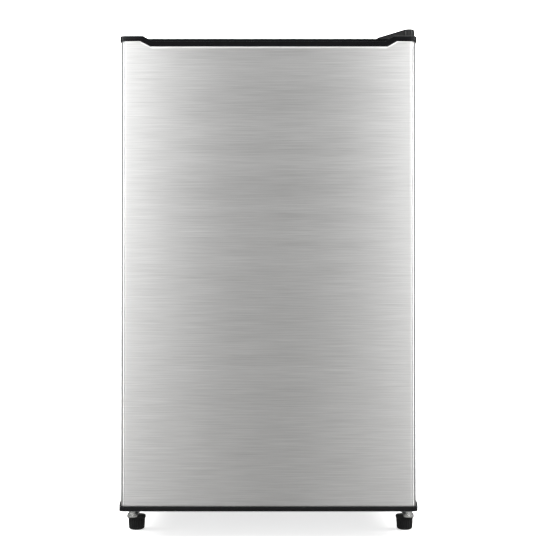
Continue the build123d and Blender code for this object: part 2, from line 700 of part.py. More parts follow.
def build_door_panel():
    half = CABINET_HALF_WIDTH
    back = LINER_BACK - LINER_SKIN
    inner = half - SHEET
    low = PANEL_BOTTOM - 1
    high = PANEL_TOP + 1
    panel = round_front(block(-half, half, DOOR_FRONT, back, PANEL_BOTTOM, PANEL_TOP), PANEL_CORNER_RADIUS)
    hollow = block(-inner, inner, DOOR_FRONT + SHEET, back - SHEET, low, high)
    panel -= round_front(hollow, PANEL_CORNER_RADIUS - SHEET)
    panel -= block(-half + 9, half - 9, back - 3, back + 1, low, high)
    return panel - prism_y(pull_outline(0.0, 0.0, 2.0), DOOR_FRONT - 1, DOOR_FRONT + 2)


def door_plug(low, high):
    """The part of a door cap that fits inside the folded panel."""
    half = CABINET_HALF_WIDTH - SHEET
    plug = block(-half, half, DOOR_FRONT + SHEET, LINER_BACK - LINER_SKIN - SHEET, low, high)
    return round_front(plug, PANEL_CORNER_RADIUS - SHEET)


def build_door_top_cap():
    half = TOP_CAP_HALF_WIDTH
    plug_low = PANEL_TOP - PLUG_HEIGHT
    slab = round_front(block(-half, half, DOOR_FRONT, LINER_BACK, PANEL_TOP, DOOR_TOP), 9)
    slab = fillet(slab.faces().sort_by(Axis.Z)[-1].edges(), 1.2)
    tongue = prism_y(pull_outline(0.0, 0.0, 1.0), DOOR_FRONT, DOOR_FRONT + SHEET)
    cap = slab + door_plug(plug_low, PANEL_TOP) + tongue
    lip_cut = prism_y(pull_outline(PULL_BAND, PULL_BAND_SHIFT, 4.0), DOOR_FRONT - 1, PULL_BACK_WALL)
    lip_back = DOOR_FRONT + PULL_LIP_DEPTH
    left = PULL_LEFT_INNER + 3
    right = PULL_RIGHT_INNER - 3
    pocket = block(left, right, lip_back, PULL_BACK_WALL, PULL_POCKET_BOTTOM, DOOR_TOP)
    pocket = fillet(pocket.edges().filter_by(Axis.Z), 5)
    return cap - lip_cut - pocket - post(HINGE_X, HINGE_Y, plug_low - 1, DOOR_TOP + 1, BUSH_RADIUS)


def build_door_bottom_cap():
    half = BOTTOM_CAP_HALF_WIDTH
    plug_high = PANEL_BOTTOM + BOTTOM_PLUG_HEIGHT
    ear_top = PANEL_BOTTOM + 5
    slab = round_front(block(-half, half, DOOR_FRONT, LINER_BACK, DOOR_BOTTOM, PANEL_BOTTOM), 9)
    cap = slab + door_plug(PANEL_BOTTOM, plug_high)
    ear = [
        (DOOR_FRONT + 9, PANEL_BOTTOM), (LINER_BACK, PANEL_BOTTOM),
        (LINER_BACK, ear_top), (DOOR_FRONT + 13, ear_top),
    ]
    cap += prism_x(ear, -half, -CABINET_HALF_WIDTH)
    cap += prism_x(ear, CABINET_HALF_WIDTH, half)
    return cap - post(HINGE_X, HINGE_Y, DOOR_BOTTOM - 1, plug_high + 1, BUSH_RADIUS)


def build_bush(low, high):
    bore = post(HINGE_X, HINGE_Y, low - 1, high + 1, PIN_RADIUS + PIN_CLEARANCE)
    return post(HINGE_X, HINGE_Y, low, high, BUSH_RADIUS) - bore


def dyke(shrink, base):
    """Picture-frame ridge on the inside of the door, reaching into the cold space."""
    outer_half, outer_low, outer_high = DYKE_OUTER
    inner_half, inner_low, inner_high = DYKE_INNER
    reach = DYKE_REACH - shrink
    wide = outer_half - shrink
    ring = block(-wide, wide, base, reach, outer_low + shrink, outer_high - shrink)
    ring = fillet(ring.edges().filter_by(Axis.Y), 12 - shrink)
    gap = inner_half + shrink
    hole = block(-gap, gap, base - 1, reach + 1, inner_low - shrink, inner_high + shrink)
    return ring - hole


def build_door_liner():
    half = CABINET_HALF_WIDTH - 3
    front = LINER_BACK - LINER_SKIN
    plate = block(-half, half, front, LINER_BACK, PANEL_BOTTOM + 7, PANEL_TOP - 10)
    plate = fillet(plate.edges().filter_by(Axis.Y), 6)
    liner = plate + dyke(0.0, front) - dyke(LINER_SKIN, front)
    for floor, height in DOOR_BINS.values():
        for side in (-1, 1):
            inner = side * (DYKE_INNER[0] - 2.1)
            peg_top = floor + height - 16
            liner += block(inner, side * (DYKE_INNER[0] + 0.2), -165, -145, peg_top - 14, peg_top)
    return liner


def build_door_foam():
    half = CABINET_HALF_WIDTH - SHEET
    low = PANEL_BOTTOM + BOTTOM_PLUG_HEIGHT
    high = PANEL_TOP - PLUG_HEIGHT
    back = LINER_BACK - LINER_SKIN
    core = block(-half, half, DOOR_FRONT + SHEET, back - SHEET, low, high)
    core = round_front(core, PANEL_CORNER_RADIUS - SHEET)
    core += block(-half + 8, half - 8, back - SHEET, back, low, high)
    return core + dyke(LINER_SKIN, back)


def build_door_gasket():
    """Magnetic gasket: a clamped base, a narrower bellows and a sealing bead."""
    def ring(inset_out, inset_in, y0, y1):
        outer = block(-222 + inset_out, 222 - inset_out, y0, y1, 53 + inset_out, 784 - inset_out)
        inner = block(-206 - inset_in, 206 + inset_in, y0 - 1, y1 + 1, 69 - inset_in, 768 + inset_in)
        return outer - inner
    base = ring(0, 0, LINER_BACK, LINER_BACK + 3)
    bellows = ring(3, 3, LINER_BACK + 3, LINER_BACK + 6.5)
    bead = ring(0.5, 0.5, LINER_BACK + 6.5, CABINET_FRONT - 0.5)
    return base + bellows + bead


def build_door_bin(floor, height):
    front = LINER_BACK + 0.6
    half = BIN_HALF_WIDTH
    inner = half - BIN_WALL
    top = floor + height
    tray = block(-half, half, front, BIN_REACH, floor, top)
    tray = fillet(tray.edges().filter_by(Axis.Z).sort_by(Axis.Y)[-2:], 14)
    tray = fillet(tray.faces().sort_by(Axis.Z)[0].edges(), 3)
    hollow = block(-inner, inner, front + BIN_WALL, BIN_REACH - BIN_WALL, floor + BIN_WALL, top + 1)
    tray -= fillet(hollow.edges().filter_by(Axis.Z).sort_by(Axis.Y)[-2:], 14 - BIN_WALL)
    hook_low = floor + height - 15.6
    for side in (-1, 1):
        tip = side * (DYKE_INNER[0] - 0.4)
        tray += block(side * (BIN_HALF_WIDTH - 1), tip, -168, -142, hook_low, hook_low + 9)
    return tray


# ---------------------------------------------------------------- write every node
rail = build_lower_front_rail()
save("outer_wrap", build_outer_wrap())
save("lower_front_rail", rail)
save("base_pan", build_base_pan())
save("compressor_bay_plate", build_bay_plate())
save("back_panel", build_back_panel())
save("inner_liner", build_inner_liner())
save("foam_insulation", build_foam_insulation(rail))

save("top_hinge_plate", build_top_hinge_plate())
save("top_hinge_pin", post(HINGE_X, HINGE_Y, 784, HINGE_ARM_BOTTOM + PLATE + 0.8, PIN_RADIUS))
save("top_hinge_screws", build_top_hinge_screws())
save("hinge_cover", build_hinge_cover())
save("lower_hinge_bracket", build_lower_bracket(HINGE_X, RIGHT_FOOT_X, 180.0))
save("lower_hinge_pin", build_collared_pin(HINGE_X, 58.0))
save("left_foot_bracket", build_lower_bracket(SPARE_STUD_X, LEFT_FOOT_X, -178.0))
save("spare_hinge_stud", build_collared_pin(SPARE_STUD_X, 0.0))
save("bracket_screws", build_bracket_screws())
for side, x in (("left", LEFT_FOOT_X), ("right", RIGHT_FOOT_X)):
    save(f"{side}_foot_knob", build_foot_knob(x))
    save(f"{side}_foot_stud", build_foot_stud(x))
save("rear_feet", build_rear_feet())
save("hinge_hole_plugs", build_hole_plugs())

compressor = build_compressor()
condenser_tube = build_condenser_tube()
save("compressor", compressor)
save("compressor_grommets", build_grommets())
save("compressor_bolts", build_compressor_bolts())
save("terminal_cover", build_terminal_cover(compressor))
save("evaporation_tray", build_evaporation_tray())
save("condenser_tube", condenser_tube)
save("condenser_wires", build_condenser_wires())
save("condenser_brackets", build_condenser_brackets(condenser_tube))
save("discharge_line", build_discharge_line() - compressor)
save("suction_line", build_suction_line() - compressor)
save("filter_dryer", build_filter_dryer())
save("capillary_tube", build_capillary_tube())
save("cord_gland", build_cord_gland())

save("evaporator_box", build_evaporator_box())
save("evaporator_hangers", build_evaporator_hangers())
save("flap_hinge_blocks", build_flap_hinge_blocks())
save("freezer_flap", build_freezer_flap())
save("drip_tray", build_drip_tray())
save("drip_tray_rails", build_drip_tray_rails())
save("thermostat_housing", build_thermostat_housing())
save("thermostat_knob", build_thermostat_knob())
for name, level in SHELF_LEVELS.items():
    glass, trims = build_shelf(level)
    save(f"{name}_glass", glass)
    save(f"{name}_trims", trims)
save("crisper_drawer", build_crisper_drawer())

save("door_panel", build_door_panel())
save("door_top_cap", build_door_top_cap())
save("door_bottom_cap", build_door_bottom_cap())
save("door_foam", build_door_foam())
save("door_liner", build_door_liner())
save("door_gasket", build_door_gasket())
save("door_hinge_bushes", group([build_bush(783.0, DOOR_TOP), build_bush(DOOR_BOTTOM, 60.0)]))
for name, (floor, height) in DOOR_BINS.items():
    save(name, build_door_bin(floor, height))
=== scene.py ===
import json
import math

import bpy
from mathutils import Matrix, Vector


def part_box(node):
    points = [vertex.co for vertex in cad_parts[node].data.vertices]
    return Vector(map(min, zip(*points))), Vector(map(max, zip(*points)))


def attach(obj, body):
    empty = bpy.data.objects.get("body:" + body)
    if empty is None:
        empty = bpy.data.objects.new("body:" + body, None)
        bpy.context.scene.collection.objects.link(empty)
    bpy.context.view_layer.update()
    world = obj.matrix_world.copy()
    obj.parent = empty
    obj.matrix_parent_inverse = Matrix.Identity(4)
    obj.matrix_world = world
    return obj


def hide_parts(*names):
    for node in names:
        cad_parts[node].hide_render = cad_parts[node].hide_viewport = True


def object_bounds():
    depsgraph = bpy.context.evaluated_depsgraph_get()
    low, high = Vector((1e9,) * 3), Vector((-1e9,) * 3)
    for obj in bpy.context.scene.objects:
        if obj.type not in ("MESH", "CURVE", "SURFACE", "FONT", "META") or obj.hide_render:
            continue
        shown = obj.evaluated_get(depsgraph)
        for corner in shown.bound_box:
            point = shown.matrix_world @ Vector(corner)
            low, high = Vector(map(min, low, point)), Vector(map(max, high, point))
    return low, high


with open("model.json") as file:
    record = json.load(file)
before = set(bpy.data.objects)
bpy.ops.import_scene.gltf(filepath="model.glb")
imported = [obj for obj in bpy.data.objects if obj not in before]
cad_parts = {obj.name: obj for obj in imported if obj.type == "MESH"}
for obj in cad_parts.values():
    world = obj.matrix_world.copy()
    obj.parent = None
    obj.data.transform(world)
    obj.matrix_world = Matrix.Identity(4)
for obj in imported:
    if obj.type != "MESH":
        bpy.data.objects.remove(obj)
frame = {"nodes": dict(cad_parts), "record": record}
cad_low, cad_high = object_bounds()

MM = 0.001

# door skin: rounded upright corners and the small rolls along its top and foot
DOOR_CORNER_RADIUS = 8.0 * MM
CORNER_STEPS = 12
STAINLESS_EDGE_ROLL = 2.0 * MM
SLOPE_EDGE_ROLL = 3.4 * MM
ROLL_ANGLES = [math.radians(a) for a in (0, 30, 60, 90)]
SKIN_THICKNESS = 0.6 * MM
RETURN_FLANGE = 8.0 * MM
RETURN_FOLD = 1.5 * MM
# how far the flat faces start from an arc or a roll, so that smooth shading doesn't run into them
SUPPORT = 0.8 * MM

# finger pull in the door's top edge, from left to right: where it slopes and how deep it is
PULL_X = (-204.5 * MM, -188.0 * MM, 190.0 * MM, 205.0 * MM)
PULL_DEPTH = 8.5 * MM
PULL_CORNER = 1.2 * MM
PULL_FLOOR_STEPS = 12

KNOB_RIBS = 24
KNOB_RIB_DEPTH = 1.1 * MM
POINTS_PER_RIB = 6

# screws that hold the brackets under the cabinet, from left to right
BRACKET_SCREW_X = (-206.0 * MM, -178.0 * MM, 180.0 * MM, 208.0 * MM)
CONDENSER_WIRES = 25
CONDENSER_WIRE_RADIUS = 0.75 * MM

# paper sweep: flat floor, then a bend up to the backdrop
SWEEP_HALF_WIDTH = 6.0
SWEEP_FRONT = -6.0
SWEEP_BACK = 3.2
SWEEP_BEND = 1.0
SWEEP_HEIGHT = 6.0
# light that the eye sees added to the floor, so that shadows stay pale
SHADOW_LIFT = 0.65
# brightness of the floor mirrored in metal: straight ahead and to the sides
FLOOR_IN_REFLECTIONS = (0.36, 0.44)
# the room: light on dull surfaces, and brightness mirrored from behind and from overhead
ROOM_LIGHT = 0.42
REAR_IN_REFLECTIONS = 0.7
CEILING_IN_REFLECTIONS = 0.64
# the room in front mirrored in metal, by how far to the side the mirrored ray goes (0 ahead, 1 sideways)
ROOM_IN_REFLECTIONS = [
    (0.0, 0.02), (0.10, 0.03), (0.155, 0.75), (0.19, 1.0),
    (0.27, 1.0), (0.36, 0.10), (0.66, 0.09), (1.0, 0.05),
]
ROOM_REFLECTION_SCALE = 4.3

# camera: metres ahead of the part's front, above the floor and to the right, and tilt up in degrees
CAMERA_DISTANCE = 1.995
CAMERA_HEIGHT = 0.397
CAMERA_X = 0.0105
CAMERA_TILT = 0.467
LENS_LENGTH = 80.4
LENS_SHIFT = -0.0152


# ---------------------------------------------------------------- shader node groups
def new_group(name, inputs, outputs):
    """A shader node group with named sockets, and its input and output nodes."""
    tree = bpy.data.node_groups.new(name, "ShaderNodeTree")
    for label, kind, value in inputs:
        socket = tree.interface.new_socket(label, in_out="INPUT", socket_type=kind)
        if value is not None:
            socket.default_value = value
    for label, kind in outputs:
        tree.interface.new_socket(label, in_out="OUTPUT", socket_type=kind)
    return tree, tree.nodes.new("NodeGroupInput"), tree.nodes.new("NodeGroupOutput")


def node(tree, kind, **settings):
    """A new node with some of its properties set."""
    made = tree.nodes.new(kind)
    for key, value in settings.items():
        setattr(made, key, value)
    return made


def math_node(tree, operation, a, b=None, clamp=False):
    """A Math node; a and b are sockets or numbers."""
    made = node(tree, "ShaderNodeMath", operation=operation, use_clamp=clamp)
    for socket, value in zip(made.inputs, (a, b)):
        if value is None:
            continue
        if isinstance(value, (int, float)):
            socket.default_value = value
        else:
            tree.links.new(value, socket)
    return made.outputs[0]


def stretched_noise(tree, vector, scale, detail, roughness):
    """Noise on a position multiplied by a scale along each axis."""
    multiply = node(tree, "ShaderNodeVectorMath", operation="MULTIPLY")
    tree.links.new(vector, multiply.inputs[0])
    multiply.inputs[1].default_value = scale
    noise = node(tree, "ShaderNodeTexNoise")
    noise.inputs["Scale"].default_value = 1.0
    noise.inputs["Detail"].default_value = detail
    noise.inputs["Roughness"].default_value = roughness
    tree.links.new(multiply.outputs[0], noise.inputs["Vector"])
    return noise.outputs["Fac"]


def build_brushed_grain():
    """Lines that run along X and Y: fine and middle streaks mixed, and a broad drift apart."""
    tree, given, out = new_group(
        "brushed_grain", [("Vector", "NodeSocketVector", None), ("Depth", "NodeSocketFloat", 1.0)],
        [("Streaks", "NodeSocketFloat"), ("Broad", "NodeSocketFloat")])
    fine = stretched_noise(tree, given.outputs["Vector"], (22.0, 22.0, 2600.0), 3.0, 0.6)
    middle = stretched_noise(tree, given.outputs["Vector"], (13.0, 13.0, 700.0), 2.0, 0.5)
    broad = stretched_noise(tree, given.outputs["Vector"], (1.4, 1.4, 60.0), 2.0, 0.5)
    mixed = math_node(tree, "ADD", math_node(tree, "MULTIPLY", fine, 0.4),
                      math_node(tree, "MULTIPLY", middle, 0.6))
    tree.links.new(math_node(tree, "MULTIPLY", mixed, given.outputs["Depth"]), out.inputs["Streaks"])
    tree.links.new(broad, out.inputs["Broad"])
    return tree


def build_moulded_grain():
    """Fine pebble texture of moulded plastic or textured paint, with a soft colour drift."""
    tree, given, out = new_group(
        "moulded_grain", [("Vector", "NodeSocketVector", None), ("Scale", "NodeSocketFloat", 900.0)],
        [("Height", "NodeSocketFloat"), ("Drift", "NodeSocketFloat")])
    pebble = node(tree, "ShaderNodeTexNoise")
    pebble.inputs["Detail"].default_value = 2.0
    tree.links.new(given.outputs["Vector"], pebble.inputs["Vector"])
    tree.links.new(given.outputs["Scale"], pebble.inputs["Scale"])
    tree.links.new(pebble.outputs["Fac"], out.inputs["Height"])
    drift = stretched_noise(tree, given.outputs["Vector"], (14.0, 14.0, 14.0), 3.0, 0.55)
    tree.links.new(drift, out.inputs["Drift"])
    return tree


def build_edge_wear_and_highlight():
    """Mask of edges painted lighter, partly scuffed wear and partly a painted edge highlight: how far a
    rounded normal turns from the true one, broken up by noise.
    """
    tree, given, out = new_group(
        "edge_wear_and_highlight", [("Vector", "NodeSocketVector", None), ("Amount", "NodeSocketFloat", 1.0)],
        [("Mask", "NodeSocketFloat")])
    rounded = node(tree, "ShaderNodeBevel", samples=4)
    rounded.inputs["Radius"].default_value = 1.2 * MM
    true_normal = node(tree, "ShaderNodeNewGeometry")
    dot = node(tree, "ShaderNodeVectorMath", operation="DOT_PRODUCT")
    tree.links.new(rounded.outputs["Normal"], dot.inputs[0])
    tree.links.new(true_normal.outputs["Normal"], dot.inputs[1])
    turned = math_node(tree, "SUBTRACT", 1.0, dot.outputs["Value"])
    bend = math_node(tree, "MULTIPLY", turned, 5.0, clamp=True)
    breakup = stretched_noise(tree, given.outputs["Vector"], (160.0, 160.0, 160.0), 3.0, 0.6)
    scuffed_and_lit = math_node(tree, "MULTIPLY", bend, math_node(tree, "MULTIPLY", breakup, 1.6, clamp=True))
    mask = math_node(tree, "MULTIPLY", scuffed_and_lit, given.outputs["Amount"], clamp=True)
    tree.links.new(mask, out.inputs["Mask"])
    return tree


def build_settled_dust():
    """Dust on faces that look up, in soft patches."""
    tree, given, out = new_group(
        "settled_dust", [("Vector", "NodeSocketVector", None), ("Amount", "NodeSocketFloat", 0.3)],
        [("Mask", "NodeSocketFloat")])
    geometry = node(tree, "ShaderNodeNewGeometry")
    split = node(tree, "ShaderNodeSeparateXYZ")
    tree.links.new(geometry.outputs["Normal"], split.inputs[0])
    up = math_node(tree, "POWER", math_node(tree, "MAXIMUM", split.outputs["Z"], 0.0), 3.0)
    patch = stretched_noise(tree, given.outputs["Vector"], (30.0, 30.0, 30.0), 4.0, 0.6)
    dusty = math_node(tree, "MULTIPLY", up, patch)
    mask = math_node(tree, "MULTIPLY", dusty, given.outputs["Amount"], clamp=True)
    tree.links.new(mask, out.inputs["Mask"])
    return tree


BRUSHED_GRAIN = build_brushed_grain()
MOULDED_GRAIN = build_moulded_grain()
EDGE_WEAR_AND_HIGHLIGHT = build_edge_wear_and_highlight()
SETTLED_DUST = build_settled_dust()


# ---------------------------------------------------------------- material building
class Finish:
    """One material: its Principled shader and the chain that colours and bumps it."""

    def __init__(self, name, colour, roughness, metallic=0.0, **constants):
        self.material = bpy.data.materials.new(name)
        self.material.use_nodes = True
        self.tree = self.material.node_tree
        self.shader = self.tree.nodes["Principled BSDF"]
        self.place = self.tree.nodes.new("ShaderNodeTexCoord").outputs["Object"]
        self.set("Base Color", (*colour, 1.0))
        self.set("Roughness", roughness)
        self.set("Metallic", metallic)
        for socket, value in constants.items():
            self.set(socket.replace("_", " "), value)

    def set(self, socket, value):
        self.shader.inputs[socket].default_value = value

    def link(self, source, socket):
        self.tree.links.new(source, self.shader.inputs[socket])

    def group(self, tree, **values):
        """An instance of a shared group, with its values."""
        made = node(self.tree, "ShaderNodeGroup", node_tree=tree)
        self.tree.links.new(self.place, made.inputs["Vector"])
        for label, value in values.items():
            made.inputs[label].default_value = value
        return made

    def ramp(self, value, low, high):
        """A value between 0 and 1 mapped to low..high."""
        made = node(self.tree, "ShaderNodeMapRange")
        made.inputs["To Min"].default_value = low
        made.inputs["To Max"].default_value = high
        self.tree.links.new(value, made.inputs["Value"])
        return made.outputs["Result"]

    def bump(self, height, distance, strength=1.0, rounded=0.0):
        """Bump from a height, over softly rounded edges where a radius is given."""
        made = node(self.tree, "ShaderNodeBump")
        made.inputs["Distance"].default_value = distance
        made.inputs["Strength"].default_value = strength
        self.tree.links.new(height, made.inputs["Height"])
        if rounded:
            edge = node(self.tree, "ShaderNodeBevel", samples=4)
            edge.inputs["Radius"].default_value = rounded
            self.tree.links.new(edge.outputs["Normal"], made.inputs["Normal"])
        self.link(made.outputs["Normal"], "Normal")


def tinted(finish, mask, base, other):
    """Links a base colour that drifts from base to other with a mask."""
    mix = node(finish.tree, "ShaderNodeMix", data_type="RGBA")
    finish.tree.links.new(mask, mix.inputs[0])
    for name, value in (("A", base), ("B", other)):
        socket = next(s for s in mix.inputs if s.name == name and s.type == "RGBA")
        if isinstance(value, tuple):
            socket.default_value = (*value, 1.0)
        else:
            finish.tree.links.new(value, socket)
    result = next(s for s in mix.outputs if s.type == "RGBA")
    finish.link(result, "Base Color")
    return result


def brushed_stainless():
    """Steel brushed across the door: streaks in its colour and height, edges painted lighter (a painted
    highlight, partly wear), and a reflection spread sideways.
    """
    finish = Finish("brushed_stainless", (0.62, 0.615, 0.605), 0.34, 1.0, Anisotropic=0.85,
                    Anisotropic_Rotation=0.25)
    grain = finish.group(BRUSHED_GRAIN, Depth=1.0)
    streaks = tinted(finish, grain.outputs["Streaks"], (0.405, 0.405, 0.402), (0.855, 0.855, 0.848))
    # edges and rolls painted lighter: a painted highlight, partly wear
    worn_and_lit = finish.group(EDGE_WEAR_AND_HIGHLIGHT, Amount=0.8)
    tinted(finish, worn_and_lit.outputs["Mask"], streaks, (0.86, 0.86, 0.855))
    finish.link(finish.ramp(grain.outputs["Broad"], 0.28, 0.32), "Roughness")
    finish.bump(grain.outputs["Streaks"], 0.02 * MM, 0.35)
    tangent = node(finish.tree, "ShaderNodeTangent", direction_type="UV_MAP", uv_map="along_grain")
    finish.link(tangent.outputs["Tangent"], "Tangent")
    return finish.material


def plastic(name, colour, roughness, grain_scale, grain_height, wear_and_highlight_colour, rounded=0.5 * MM, dust=0.0,
            **constants):
    """Moulded plastic: pebble bump, colour drift, softly rounded edges, corners painted in a lighter edge
    colour (scuffed wear and a painted edge highlight) and settled dust.
    """
    finish = Finish(name, colour, roughness, 0.0, **constants)
    grain = finish.group(MOULDED_GRAIN, Scale=grain_scale)
    darker = tuple(c * 0.82 for c in colour)
    lighter = tuple(min(1.0, c * 1.12) for c in colour)
    result = tinted(finish, grain.outputs["Drift"], darker, lighter)
    # edges painted in the edge colour: scuffed wear and a painted edge highlight
    worn_and_lit = finish.group(EDGE_WEAR_AND_HIGHLIGHT, Amount=0.5)
    result = tinted(finish, worn_and_lit.outputs["Mask"], result, wear_and_highlight_colour)
    if dust:
        settled = finish.group(SETTLED_DUST, Amount=dust)
        tinted(finish, settled.outputs["Mask"], result, (0.42, 0.40, 0.37))
    finish.link(finish.ramp(grain.outputs["Drift"], roughness - 0.05, roughness + 0.06), "Roughness")
    finish.bump(grain.outputs["Height"], grain_height, 0.5, rounded)
    return finish.material


def bare_metal(name, colour, roughness, wear_and_highlight_colour, grain_scale=500.0, grain_height=0.03 * MM):
    """Plated or bare metal with a faint mottled surface and edges painted bright: scuffed wear and a painted
    edge highlight.
    """
    finish = Finish(name, colour, roughness, 1.0)
    grain = finish.group(MOULDED_GRAIN, Scale=grain_scale)
    darker = tuple(c * 0.85 for c in colour)
    lighter = tuple(min(1.0, c * 1.1) for c in colour)
    result = tinted(finish, grain.outputs["Drift"], darker, lighter)
    # edges painted in the edge colour: scuffed wear and a painted edge highlight
    worn_and_lit = finish.group(EDGE_WEAR_AND_HIGHLIGHT, Amount=0.9)
    tinted(finish, worn_and_lit.outputs["Mask"], result, wear_and_highlight_colour)
    finish.link(finish.ramp(grain.outputs["Drift"], roughness - 0.08, roughness + 0.1), "Roughness")
    finish.bump(grain.outputs["Height"], grain_height, 0.5, 0.3 * MM)
    return finish.material


def galvanised_steel():
    """Zinc-coated sheet with its crystal spangle."""
    finish = Finish("galvanised_steel", (0.55, 0.57, 0.58), 0.42, 1.0)
    spangle = node(finish.tree, "ShaderNodeTexVoronoi")
    spangle.inputs["Scale"].default_value = 170.0
    finish.tree.links.new(finish.place, spangle.inputs["Vector"])
    split = node(finish.tree, "ShaderNodeSeparateColor")
    finish.tree.links.new(spangle.outputs["Color"], split.inputs[0])
    result = tinted(finish, split.outputs[0], (0.56, 0.58, 0.595), (0.70, 0.72, 0.73))
    settled = finish.group(SETTLED_DUST, Amount=0.5)
    tinted(finish, settled.outputs["Mask"], result, (0.33, 0.32, 0.30))
    finish.link(finish.ramp(split.outputs[1], 0.34, 0.55), "Roughness")
    return finish.material


def insulation_foam():
    """Cut polyurethane foam: small closed cells."""
    finish = Finish("insulation_foam", (0.78, 0.68, 0.42), 0.9)
    cells = node(finish.tree, "ShaderNodeTexVoronoi")
    cells.inputs["Scale"].default_value = 420.0
    finish.tree.links.new(finish.place, cells.inputs["Vector"])
    tinted(finish, cells.outputs["Distance"], (0.66, 0.55, 0.32), (0.86, 0.77, 0.52))
    finish.bump(cells.outputs["Distance"], 0.4 * MM, 0.7)
    return finish.material


def clear_glass():
    """Toughened shelf glass with a green cast."""
    finish = Finish("shelf_glass", (0.80, 0.95, 0.90), 0.03, 0.0, Transmission_Weight=1.0, IOR=1.52)
    grain = finish.group(MOULDED_GRAIN, Scale=60.0)
    finish.link(finish.ramp(grain.outputs["Drift"], 0.02, 0.07), "Roughness")
    return finish.material


def clear_plastic(name, colour, roughness, transmission):
    """Translucent polystyrene with faint flow marks."""
    finish = Finish(name, colour, roughness, 0.0, Transmission_Weight=transmission, IOR=1.5)
    grain = finish.group(MOULDED_GRAIN, Scale=500.0)
    darker = tuple(c * 0.94 for c in colour)
    tinted(finish, grain.outputs["Drift"], darker, colour)
    finish.link(finish.ramp(grain.outputs["Drift"], roughness, roughness + 0.12), "Roughness")
    finish.bump(grain.outputs["Height"], 0.03 * MM, 0.35, 0.6 * MM)
    return finish.material


# the last colour given to each plastic and bare metal is its edge colour: scuffed wear plus a painted edge
# highlight
FINISHES = {
    "brushed_stainless": brushed_stainless(),
    "black_satin_plastic": plastic(
        "black_satin_plastic", (0.0050, 0.0052, 0.0060), 0.32, 1500.0, 0.02 * MM, (0.10, 0.10, 0.105),
        dust=0.05, Specular_IOR_Level=0.03, Coat_Weight=0.55, Coat_Roughness=0.03),
    "black_foot_plastic": plastic(
        "black_foot_plastic", (0.009, 0.009, 0.0095), 0.42, 1200.0, 0.03 * MM, (0.05, 0.05, 0.05),
        Specular_IOR_Level=0.2),
    "black_cabinet_paint": plastic(
        "black_cabinet_paint", (0.022, 0.022, 0.024), 0.42, 420.0, 0.16 * MM, (0.09, 0.09, 0.095),
        0.8 * MM, 0.12),
    "black_rubber": plastic(
        "black_rubber", (0.025, 0.025, 0.025), 0.75, 700.0, 0.06 * MM, (0.08, 0.08, 0.08)),
    "dark_tray_plastic": plastic(
        "dark_tray_plastic", (0.04, 0.041, 0.045), 0.5, 900.0, 0.03 * MM, (0.12, 0.12, 0.12), dust=0.5),
    "white_liner_plastic": plastic(
        "white_liner_plastic", (0.80, 0.815, 0.81), 0.30, 600.0, 0.02 * MM, (0.9, 0.9, 0.9), 1.0 * MM),
    "white_knob_plastic": plastic(
        "white_knob_plastic", (0.78, 0.78, 0.765), 0.33, 1000.0, 0.02 * MM, (0.88, 0.88, 0.87)),
    "white_trim_plastic": plastic(
        "white_trim_plastic", (0.82, 0.825, 0.82), 0.28, 1000.0, 0.02 * MM, (0.9, 0.9, 0.9)),
    "grey_gasket": plastic("grey_gasket", (0.20, 0.205, 0.21), 0.55, 1100.0, 0.04 * MM, (0.3, 0.3, 0.3)),
    "nylon_bush": plastic("nylon_bush", (0.78, 0.76, 0.70), 0.45, 900.0, 0.02 * MM, (0.85, 0.84, 0.8)),
    "zinc_plate": bare_metal("zinc_plate", (0.76, 0.77, 0.755), 0.16, (0.9, 0.9, 0.88), 300.0, 0.003 * MM),
    "black_enamel": plastic(
        "black_enamel", (0.014, 0.014, 0.015), 0.24, 260.0, 0.06 * MM, (0.10, 0.09, 0.085), 0.5 * MM, 0.35,
        Coat_Weight=0.3),
    "copper": bare_metal("copper", (0.83, 0.44, 0.30), 0.33, (0.95, 0.62, 0.48)),
    "evaporator_aluminium": bare_metal("evaporator_aluminium", (0.76, 0.78, 0.80), 0.38, (0.92, 0.93, 0.94)),
    "galvanised_steel": galvanised_steel(),
    "polyurethane_foam": insulation_foam(),
    "shelf_glass": clear_glass(),
    "frosted_flap_plastic": clear_plastic("frosted_flap_plastic", (0.80, 0.88, 0.93), 0.42, 0.75),
    "clear_bin_plastic": clear_plastic("clear_bin_plastic", (0.90, 0.955, 0.97), 0.10, 0.85),
}


def dress_cad_nodes():
    """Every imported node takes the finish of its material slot."""
    for part in frame["record"]["subparts"]:
        data = frame["nodes"][part["node"]].data
        data.materials.clear()
        data.materials.append(FINISHES[part["material_slot"]])


# ---------------------------------------------------------------- mesh helpers
def mesh_object(name, vertices, faces, finish):
    """A smooth-shaded object at the origin with one of the finishes."""
    data = bpy.data.meshes.new(name)
    data.from_pydata([tuple(v) for v in vertices], [], faces)
    data.validate()
    data.polygons.foreach_set("use_smooth", [True] * len(data.polygons))
    data.materials.append(FINISHES[finish])
    made = bpy.data.objects.new(name, data)
    bpy.context.scene.collection.objects.link(made)
    return made


def place_piece(piece, body, finish, *nodes):
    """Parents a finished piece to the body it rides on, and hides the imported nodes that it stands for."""
    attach(piece, body)
    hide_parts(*nodes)


def ring_surface(rings):
    """Vertices and outward faces of stacked rings, closed at both ends.

    The rings are equally long, listed from bottom to top, and anticlockwise from above.
    """
    count = len(rings[0])
    vertices = [point for ring in rings for point in ring]
    faces = []
    for level in range(len(rings) - 1):
        for i in range(count):
            j = (i + 1) % count
            low, high = level * count, (level + 1) * count
            faces.append((low + i, low + j, high + j, high + i))
    faces.append(tuple(reversed(range(count))))
    faces.append(tuple(range((len(rings) - 1) * count, len(rings) * count)))
    return vertices, faces


def sharp_by_angle(piece, degrees):
    """Marks edges sharper than an angle, so that smooth shading stops at them."""
    piece.data.set_sharp_from_angle(angle=math.radians(degrees))


